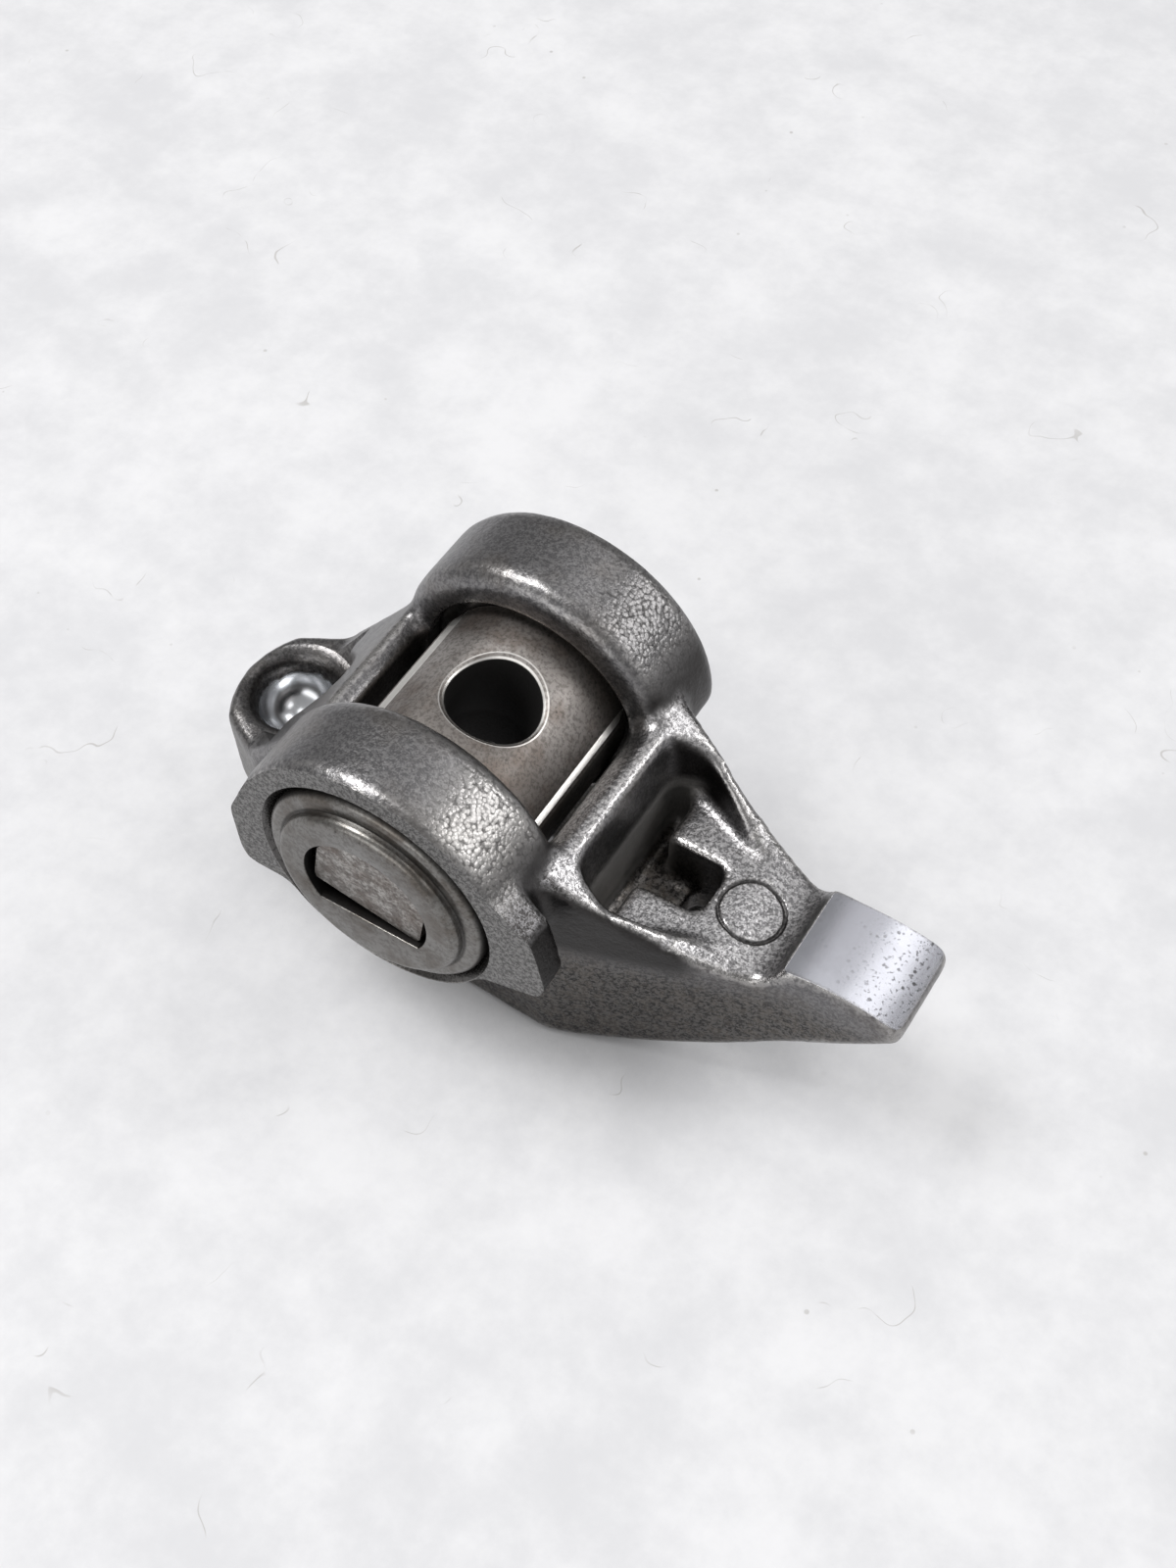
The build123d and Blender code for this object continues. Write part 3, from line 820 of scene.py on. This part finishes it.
def casting_tone(finish, at, noise, cast, cut_places):
    """The casting's colour, layer by layer."""
    def grainy(dark, light):
        return finish.mix(noise.skin, dark, light)

    return finish.layered(grainy(CAST_DARK, CAST_LIGHT), [
        (noise.stain.step(0.46, 0.7) * 0.3, CAST_BROWN),
        (cast.low_side, grainy(SIDE_DARK, SIDE_LIGHT)),
        (cast.low_side * noise.mottle * 0.35, CAST_BROWN),
        # wear with a painted highlight on the hubs' shoulders
        (cast.rubbed_and_highlit * cast.rubbed_and_highlit_share, CAST_WORN_AND_LIT),
        # painted light on the window slope
        (cast.slope_light * 0.2, CAST_WORN_AND_LIT),
        # blasted skin, painted lighter on its upward faces as top light
        (cast.blasted_and_toplit * 0.85, grainy(TOPLIT_BLASTED_DARK, TOPLIT_BLASTED_LIGHT)),
        (cast.worn * 0.5, CAST_WORN_AND_LIT),
        # painted shade on the hubs' far flanks
        (cast.flank_shade * 0.95, grainy(CAST_HOLLOW, SIDE_DARK)),
        (noise.crevices * (0.08 + cast.rubbed_and_highlit * 0.65 + cast.blasted_and_toplit * 0.25), CAST_HOLLOW),
        # painted light inside the pocket
        (cast.pocket_light * 0.7, CAST_WORN_AND_LIT),
        # painted shade on the lug's top
        (cast.lug_top_shade * 0.95, grainy(CAST_HOLLOW, CAST_DARK)),
        (cast.hollow * 0.35, CAST_HOLLOW),
        # painted shade in the pressed ring
        (cut_places.ring * 0.8, CAST_HOLLOW),
        # painted shade in the bore groove
        (cut_places.groove_shade * 0.75, CAST_HOLLOW),
        # painted shade on the socket's mouth
        (cut_places.dish_shade * (1 - cut_places.polished) * 0.35, SIDE_DARK),
        (cut_places.faced, grainy(FACED_DARK, FACED_LIGHT)),
        (cut_places.ground, ground_tone(finish, at, noise)),
        (cut_places.polished, POLISHED),
    ])


print("casting paint ready")

# %% [markdown]
# Last come roughness and relief. Bump layers carry the pebbles, the domes of the blasted skin
# and the fine grain. All of them fade to almost nothing where the steel was machined.

# %% Cast steel
def cast_steel():
    """The casting's one material, with its skin and its machined places."""
    finish = Finish("cast_steel", metallic=1.0)
    at = measures(finish)
    noise = noises(finish)
    cast = cast_places(finish, at, noise)
    cut_places = machined_places(finish, at)
    rough = CAST_ROUGHNESS + noise.grain * 0.1 - cast.worn * 0.08 + cast.pocket_light * 0.2
    rough = rough.toward(FACED_ROUGHNESS, cut_places.faced)
    rough = rough.toward(GROUND_ROUGHNESS, cut_places.ground)
    rough = rough.toward(POLISHED_ROUGHNESS, cut_places.polished)
    calm = 1 - cut_places.any * 0.96
    pebbled = 0.5 + cast.rubbed_and_highlit * 0.3 + cast.blasted_and_toplit * 0.2
    domed = 0.15 + cast.rubbed_and_highlit * 0.85 + cast.blasted_and_toplit * 0.3
    grained = 1 - cut_places.any * 0.85 - cut_places.polished * 0.14
    relief = finish.bump(noise.pebbles * calm * pebbled, 0.05 * MM)
    relief = finish.bump(noise.domes * calm * domed, -0.07 * MM, below=relief)
    relief = finish.bump(noise.grain * grained, 0.016 * MM, below=relief)
    tone = casting_tone(finish, at, noise, cast, cut_places)
    return finish.feed(base_color=tone, roughness=rough, normal=relief)


casting.data.materials.append(cast_steel())
print("cast steel has", len(casting.data.materials[0].node_tree.nodes), "nodes")

# %% [markdown]
# ## Turned, drawn and rolled steel
# One recipe serves the other steels: a base tone, a slow brown stain, fine scratches along
# the direction of the tool and a few dark nicks. Each piece sets its own strengths, and may
# name a part of itself that is rubbed bright and a part that is painted black as shade.

# %% Worked steel
DUSTY = (0.07, 0.062, 0.055)
NICKED = (0.05, 0.045, 0.04)
RUBBED_BRIGHT = (0.86, 0.84, 0.81)
PAINTED_SHADE_BLACK = (0.012, 0.011, 0.011)


def worked_steel(
    finish, tone, stain_tone, stain_share, roughness, stretch, depth, bright=None, painted_shade=None
):
    """Steel that was turned, drawn or rolled. The stretch squeezes noise into tool marks."""
    squeeze = {"Vector": finish.coords, "Scale": stretch}
    stretched = finish.node("ShaderNodeMapping", {}, squeeze)
    scratches = finish.noise(0.4 * MM, detail=3.0, roughness=0.7, coords=stretched)
    stain = finish.noise(3.5 * MM, detail=4.0, roughness=0.62)
    speckle = finish.noise(0.36 * MM, detail=3.0, roughness=0.65)
    nicks = finish.pits(1.6 * MM).step(0.1, 0.06)
    colour = finish.layered(tone, [
        (stain.step(0.42, 0.66) * stain_share, stain_tone),
        (speckle.step(0.44, 0.62) * 0.5, DUSTY),
        (nicks * 0.6, NICKED),
    ])
    rough = roughness + stain * 0.1 + scratches * 0.1
    if bright is not None:
        colour = finish.mix(bright * 0.9, colour, RUBBED_BRIGHT)
        rough = rough.toward(0.34, bright)
    # Painted shade: the named part is painted near black and made rougher.
    if painted_shade is not None:
        colour = finish.mix(painted_shade * 0.93, colour, PAINTED_SHADE_BLACK)
        rough = rough.toward(0.6, painted_shade)
    relief = finish.bump(scratches, depth)
    relief = finish.bump(speckle, depth * 1.6, below=relief)
    return finish.feed(base_color=colour, roughness=rough, normal=relief)


print("worked steel reflects", RUBBED_BRIGHT, "where it is rubbed")

# %% [markdown]
# The drawn cups are evenly grey. One mask paints shade, nearly black, into the key hole, the
# valley round the raised disc and the rim where the cup meets its bore. The needles are the
# smoothest steel in the arm, with faint marks from rolling.

# %% Cups and needles
KEY_HOLE_RADIUS = 6.3 * MM
CUP_FACE = 18.2 * MM
CUP_DISC_RADIUS = 9.25 * MM
CUP_TONE = (0.2, 0.194, 0.184)
CUP_STAIN = (0.1, 0.084, 0.07)
NEEDLE_TONE = (0.6, 0.6, 0.6)
NEEDLE_STAIN = (0.5, 0.48, 0.45)


def drawn_cup_steel():
    """Drawn steel with painted shade in its key hole, in the valley beside the disc and at its rim."""
    finish = Finish("cup_steel", metallic=1.0)
    from_pivot = finish.distance((0, 0, 0), keep=(1, 0, 1))
    across = abs(finish.axis("Y"))
    # Painted shade: the key hole's wall, the valley beside the disc and the rim go nearly black.
    key_wall = from_pivot.step(KEY_HOLE_RADIUS + 0.08 * MM, KEY_HOLE_RADIUS + 0.03 * MM)
    key_wall = key_wall * across.step(CUP_FACE - 0.08 * MM, CUP_FACE - 0.14 * MM)
    off_valley = abs(from_pivot - (CUP_DISC_RADIUS + 0.15 * MM))
    valley = off_valley.step(0.3 * MM, 0.05 * MM)
    valley = valley * across.step(CUP_FACE - 0.75 * MM, CUP_FACE - 0.95 * MM)
    rim = from_pivot.step(BORE_RADIUS - 0.35 * MM, BORE_RADIUS - 0.1 * MM)
    return worked_steel(
        finish, CUP_TONE, CUP_STAIN, stain_share=0.75, roughness=0.2, stretch=(1, 1, 1),
        depth=0.006 * MM, painted_shade=(key_wall + valley * 0.65 + rim * 0.6).capped(),
    )


cup_steel = drawn_cup_steel()
needle_steel = worked_steel(
    Finish("needle_steel", metallic=1.0), NEEDLE_TONE, NEEDLE_STAIN, stain_share=0.3,
    roughness=0.12, stretch=(1, 0.1, 1), depth=0.001 * MM,
)
for cup in (near_cup, far_cup):
    cup.data.materials.append(cup_steel)
needles = [node for name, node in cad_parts.items() if "needle" in name]
for needle in needles:
    needle.data.materials.clear()
    needle.data.materials.append(needle_steel)
print("needles finished:", len(needles))

# %% [markdown]
# ## The trunnion's bright places
# The crown of the trunnion is brown and dull, and painted darker towards both hubs and the valve
# side as shade. The two flat lands beside it and the rim of the bolt hole are rubbed, so they are
# clean and bright, and the hole itself is painted black as shade.
# Separate materials would need their faces picked out, so masks in one steel do it. The lands
# follow the trunnion, which rests slightly turned, so a Mapping node first turns the
# coordinates with it.

# %% Trunnion steel
TRUNNION_TURN = math.radians(10.75)
BOLT_HOLE_RADIUS = 4.25 * MM
LAND_HEIGHT = 4.135 * MM
LAND_START = 8.27 * MM
LAND_SHIFT = -0.11 * MM
TRUNNION_END = 17.6 * MM
CROWN_LIGHT = (0.35, 0.328, 0.312)
CROWN_SHADED = (0.17, 0.152, 0.14)
CROWN_STAIN = (0.16, 0.13, 0.112)
END_LIGHT = (0.44, 0.425, 0.405)
END_DARK = (0.21, 0.192, 0.18)
END_SPECK = (0.06, 0.055, 0.05)


def end_tone(finish):
    """The blotched grey of the D ends."""
    blotch = finish.noise(1.1 * MM, detail=4.0, roughness=0.65).step(0.4, 0.6)
    specks = finish.noise(0.3 * MM).step(0.55, 0.7)
    return finish.layered(END_LIGHT, [(blotch, END_DARK), (specks * 0.4, END_SPECK)])


def trunnion_steel():
    """Brown turned steel with bright lands, a bright hole rim, painted shade on the crown and a bolt
    hole painted black as shade.
    """
    finish = Finish("trunnion_steel", metallic=1.0)
    turn = {"Vector": finish.coords, "Rotation": (0, -TRUNNION_TURN, 0)}
    turned = finish.node("ShaderNodeMapping", {}, turn)
    along, side, height = [finish.axis(name, turned) for name in "XYZ"]
    from_bolt = finish.distance((0, 0, 0), keep=(1, 1, 0), coords=turned)
    outside = abs(along + LAND_SHIFT).step(LAND_START - 0.03 * MM, LAND_START + 0.02 * MM)
    land = outside * height.step(LAND_HEIGHT - 0.12 * MM, LAND_HEIGHT - 0.04 * MM)
    above = height.step(0, 1 * MM)
    rim = from_bolt.step(BOLT_HOLE_RADIUS + 0.26 * MM, BOLT_HOLE_RADIUS + 0.2 * MM) * above
    off_line = abs(from_bolt - (BOLT_HOLE_RADIUS + 0.5 * MM))
    line = off_line.step(0.09 * MM, 0.03 * MM) * above
    # Painted shade: the bolt hole's wall is painted near black.
    painted_shade = from_bolt.step(BOLT_HOLE_RADIUS + 0.08 * MM, BOLT_HOLE_RADIUS + 0.03 * MM)
    at_end = abs(side).step(TRUNNION_END - 0.06 * MM, TRUNNION_END - 0.02 * MM)
    near_shade = side.step(2 * MM, -4 * MM) * 0.6
    far_shade = side.step(3 * MM, 7 * MM) * 0.5
    valve_shade = along.step(-2 * MM, 7 * MM) * 0.3
    shade = (near_shade + far_shade + valve_shade).capped()
    tone = finish.layered(CROWN_LIGHT, [(shade, CROWN_SHADED), (at_end, end_tone(finish))])
    return worked_steel(
        finish, tone, CROWN_STAIN, stain_share=0.7, roughness=0.4, stretch=(1, 0.2, 1),
        depth=0.012 * MM, bright=(land + rim * 0.8 + line * 0.6).capped(), painted_shade=painted_shade,
    )


trunnion.data.materials.append(trunnion_steel())
print("trunnion steel has", len(trunnion.data.materials[0].node_tree.nodes), "nodes")

# %% [markdown]
# ## Studio
# A pale bench and eight soft panels. Metal shows what it reflects, so each panel stands where
# its reflection is needed: some behind for the pad, the hubs and the trunnion, one strong and
# high at the left for the rounded hub edges, and the long windows at the right and in front
# for the bowl, the side walls and the D ends.
#
# The bench also glows faintly with its own tone, so that its shadows stay light. Only the
# camera, mirrors and glass see the glow, and it fades close under the object, where ambient
# occlusion finds little open sky.

# %% Bench
BENCH_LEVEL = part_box("rocker_body")[0].z
BENCH_HALF_SIZE = 3.0
BENCH_DARK = (0.325, 0.325, 0.333)
BENCH_LIGHT = (0.385, 0.384, 0.39)
BENCH_MARK = (0.2, 0.19, 0.18)
RAY_KINDS = ("Camera", "Glossy", "Transmission")


def bench_top():
    """A mottled pale top with a few specks and short hairs, and a faint glow of its own."""
    finish = Finish("bench_top", roughness=0.6, emission_strength=1.0)
    mottle = finish.noise(14 * MM, detail=6.0, roughness=0.7)
    patches = finish.noise(20 * MM).step(0.5, 0.6)
    specks = finish.pits(5 * MM).step(0.06, 0.03) * patches
    off_hair = abs(finish.noise(16 * MM, detail=2.5, roughness=0.6) - 0.5)
    broken = finish.noise(6 * MM, detail=2.0).step(0.55, 0.62)
    marks = (specks + off_hair.step(0.003, 0.001) * patches * broken).capped()
    tone = finish.mix(mottle.step(0.3, 0.72), BENCH_DARK, BENCH_LIGHT)
    tone = finish.mix(marks * 0.6, tone, BENCH_MARK)
    rays = [finish.node("ShaderNodeLightPath", output=f"Is {kind} Ray") for kind in RAY_KINDS]
    reach = {"Distance": 9 * MM}
    sky = finish.node("ShaderNodeAmbientOcclusion", {"samples": 8}, reach, output="AO")
    seen = sum(rays).capped() * sky.step(0.25, 0.95)
    glow = finish.mix(seen, (0, 0, 0), tone)
    return finish.feed(base_color=tone, emission_color=glow)


bench_bm = bmesh.new()
bmesh.ops.create_grid(bench_bm, x_segments=1, y_segments=1, size=BENCH_HALF_SIZE)
bmesh.ops.translate(bench_bm, verts=bench_bm.verts, vec=(0, 0, BENCH_LEVEL))
bench = new_piece("bench", bench_bm)
bench.data.materials.append(bench_top())
print("bench level, mm", round(BENCH_LEVEL / MM, 2))

# %% [markdown]
# A panel's power grows with its area, so two panels of the same radiance look equally bright
# in a mirror, whatever their size. All eight stand 0.8 m away and face the object.

# %% Panels and room
PANEL_DISTANCE = 0.8
ROOM_STRENGTH = 0.4
PANELS = [  # name, direction, width, height and radiance
    ("overhead_panel", (0.17, 0.5, 0.84), 0.21, 0.24, 2.5),
    ("overhead_left_panel", (-0.14, 0.5, 0.85), 0.27, 0.26, 0.85),
    ("top_panel", (0.0, -0.06, 1.0), 0.2, 0.2, 2.0),
    ("back_right_panel", (0.66, 0.5, 0.56), 0.26, 0.26, 7.0),
    ("high_left_panel", (-0.47, -0.1, 0.86), 0.32, 0.3, 14.0),
    ("high_right_panel", (0.6, 0.02, 0.8), 0.24, 0.24, 2.2),
    ("right_window", (0.894, 0.094, 0.438), 0.8, 0.18, 1.4),
    ("near_window", (-0.08, -0.9, 0.41), 0.9, 0.45, 1.8),
]


def panel(name, direction, width, height, radiance):
    """A soft panel that faces the object. A lamp's power is radiance, area and pi."""
    data = bpy.data.lights.new(name, "AREA")
    data.shape = "RECTANGLE"
    data.size, data.size_y = width, height
    data.energy = radiance * math.pi * width * height
    lamp = bpy.data.objects.new(name, data)
    place = Vector(direction).normalized() * PANEL_DISTANCE
    facing = (-place).to_track_quat("-Z", "Y").to_matrix().to_4x4()
    lamp.matrix_world = Matrix.Translation(place) @ facing
    bpy.context.scene.collection.objects.link(lamp)


for name, direction, width, height, radiance in PANELS:
    panel(name, direction, width, height, radiance)

room = bpy.data.worlds.new("room")
room.use_nodes = True
background = room.node_tree.nodes["Background"]
background.inputs["Color"].default_value = (1, 1, 1, 1)
background.inputs["Strength"].default_value = ROOM_STRENGTH
bpy.context.scene.world = room
print("panels", len(PANELS))

# %% [markdown]
# ## Joining pieces to bodies
# Each new piece rides on the CAD body that carries it and stands for the node that it was
# copied from, so a joint moves the dressed piece just as it moves the solid.

# %% Ride and replace
dressed = [
    (casting, "rocker", "rocker_body", "cast_steel"),
    (near_cup, "rocker", "near_bearing_cup", "cup_steel"),
    (far_cup, "rocker", "far_bearing_cup", "cup_steel"),
    (trunnion, "trunnion", "trunnion", "trunnion_steel"),
]
for piece, body, node, slot in dressed:
    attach(piece, body)
    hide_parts(node)
